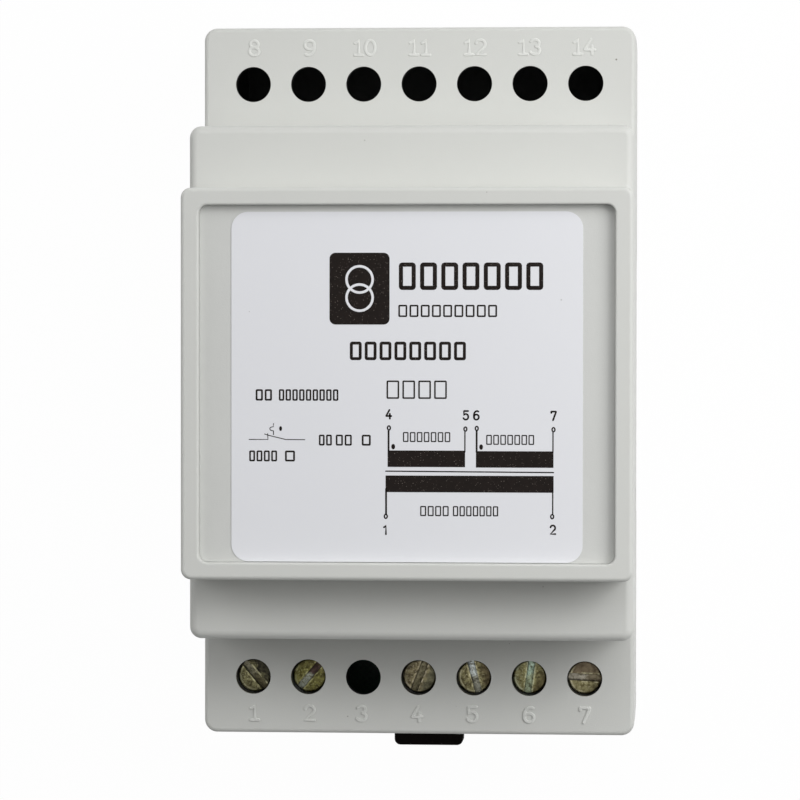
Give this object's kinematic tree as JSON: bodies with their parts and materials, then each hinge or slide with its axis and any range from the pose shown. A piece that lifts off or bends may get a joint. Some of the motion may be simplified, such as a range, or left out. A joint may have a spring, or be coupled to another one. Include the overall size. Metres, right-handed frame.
{
  "type": "din rail transformer",
  "caption": "Three-module rail-mount safety transformer: stepped grey case with a sunk label panel, slotted screw terminals and a black sliding rail clip.",
  "frame": {"origin": "middle of the rail channel, in the plane of the back faces", "axes": "+X along the rail, +Y up the face of the device when the numbers read upright, +Z from the back to the nose"},
  "size_m": [0.0536, 0.0938, 0.058],
  "materials": {
    "case_grey": "light grey moulded plastic, fine satin",
    "panel_grey": "light grey moulded plastic, fine satin",
    "label_white": "white printed film",
    "print_black": "black ink",
    "clip_black": "black moulded plastic",
    "block_plastic": "dark grey moulded plastic",
    "board_green": "solder resist over glass laminate",
    "zinc_steel": "zinc plated",
    "screw_brass": "yellow passivated, grimy",
    "core_steel": "stacked silicon steel sheet, varnished",
    "bobbin_plastic": "black glass filled plastic",
    "enamelled_copper": "enamelled copper wire, side by side",
    "winding_tape": "yellow polyester tape",
    "tinned_metal": "tinned",
    "cutout_case": "dark resin"
  },
  "bodies": {
    "case": {"base_housing": "case_grey", "upper_cover": "case_grey", "front_panel": "panel_grey", "rating_label": "label_white", "terminal_block_mains": "block_plastic", "terminal_block_output": "block_plastic", "circuit_board": "board_green", "board_screws": "zinc_steel", "core_e_laminations": "core_steel", "core_i_laminations": "core_steel", "coil_bobbin": "bobbin_plastic", "primary_winding": "enamelled_copper", "secondary_winding_a": "enamelled_copper", "secondary_winding_b": "enamelled_copper", "primary_tape": "winding_tape", "secondary_tape": "winding_tape", "transformer_pins": "tinned_metal", "thermal_cutout": "cutout_case", "contact_bar_1": "tinned_metal", "contact_bar_2": "tinned_metal", "contact_bar_4": "tinned_metal", "contact_bar_5": "tinned_metal", "contact_bar_6": "tinned_metal", "contact_bar_7": "tinned_metal"},
    "clip": {"rail_clip": "clip_black"},
    "screw_1": {"terminal_screw_1": "screw_brass"},
    "clamp_1": {"clamp_cage_1": "zinc_steel"},
    "screw_2": {"terminal_screw_2": "screw_brass"},
    "clamp_2": {"clamp_cage_2": "zinc_steel"},
    "screw_4": {"terminal_screw_4": "screw_brass"},
    "clamp_4": {"clamp_cage_4": "zinc_steel"},
    "screw_5": {"terminal_screw_5": "screw_brass"},
    "clamp_5": {"clamp_cage_5": "zinc_steel"},
    "screw_6": {"terminal_screw_6": "screw_brass"},
    "clamp_6": {"clamp_cage_6": "zinc_steel"},
    "screw_7": {"terminal_screw_7": "screw_brass"},
    "clamp_7": {"clamp_cage_7": "zinc_steel"}
  },
  "joints": [
    {"name": "clip_slide", "type": "slide", "parent": "case", "child": "clip", "axis": [0, -1, 0], "range_m": [0, 0.004], "stiffness_N_per_m": 2000},
    {"name": "screw_turn_1", "type": "hinge", "parent": "case", "child": "screw_1", "pos_m": [-0.02063, -0.03683, 0.033], "axis": [0, 0, -1], "range_deg": [0, 2088]},
    {"name": "clamp_rise_1", "type": "slide", "parent": "case", "child": "clamp_1", "axis": [0, 0, 1], "range_m": [0, 0.0029]},
    {"name": "screw_turn_2", "type": "hinge", "parent": "case", "child": "screw_2", "pos_m": [-0.01375, -0.03683, 0.033], "axis": [0, 0, -1], "range_deg": [0, 2088]},
    {"name": "clamp_rise_2", "type": "slide", "parent": "case", "child": "clamp_2", "axis": [0, 0, 1], "range_m": [0, 0.0029]},
    {"name": "screw_turn_4", "type": "hinge", "parent": "case", "child": "screw_4", "pos_m": [0, -0.03683, 0.033], "axis": [0, 0, -1], "range_deg": [0, 2088]},
    {"name": "clamp_rise_4", "type": "slide", "parent": "case", "child": "clamp_4", "axis": [0, 0, 1], "range_m": [0, 0.0029]},
    {"name": "screw_turn_5", "type": "hinge", "parent": "case", "child": "screw_5", "pos_m": [0.00688, -0.03683, 0.033], "axis": [0, 0, -1], "range_deg": [0, 2088]},
    {"name": "clamp_rise_5", "type": "slide", "parent": "case", "child": "clamp_5", "axis": [0, 0, 1], "range_m": [0, 0.0029]},
    {"name": "screw_turn_6", "type": "hinge", "parent": "case", "child": "screw_6", "pos_m": [0.01375, -0.03683, 0.033], "axis": [0, 0, -1], "range_deg": [0, 2088]},
    {"name": "clamp_rise_6", "type": "slide", "parent": "case", "child": "clamp_6", "axis": [0, 0, 1], "range_m": [0, 0.0029]},
    {"name": "screw_turn_7", "type": "hinge", "parent": "case", "child": "screw_7", "pos_m": [0.02063, -0.03683, 0.033], "axis": [0, 0, -1], "range_deg": [0, 2088]},
    {"name": "clamp_rise_7", "type": "slide", "parent": "case", "child": "clamp_7", "axis": [0, 0, 1], "range_m": [0, 0.0029]}
  ],
  "couplings": [
    {"joint": "screw_turn_1", "follows": "clamp_rise_1", "rad_per_m": 12566},
    {"joint": "screw_turn_2", "follows": "clamp_rise_2", "rad_per_m": 12566},
    {"joint": "screw_turn_4", "follows": "clamp_rise_4", "rad_per_m": 12566},
    {"joint": "screw_turn_5", "follows": "clamp_rise_5", "rad_per_m": 12566},
    {"joint": "screw_turn_6", "follows": "clamp_rise_6", "rad_per_m": 12566},
    {"joint": "screw_turn_7", "follows": "clamp_rise_7", "rad_per_m": 12566}
  ]
}
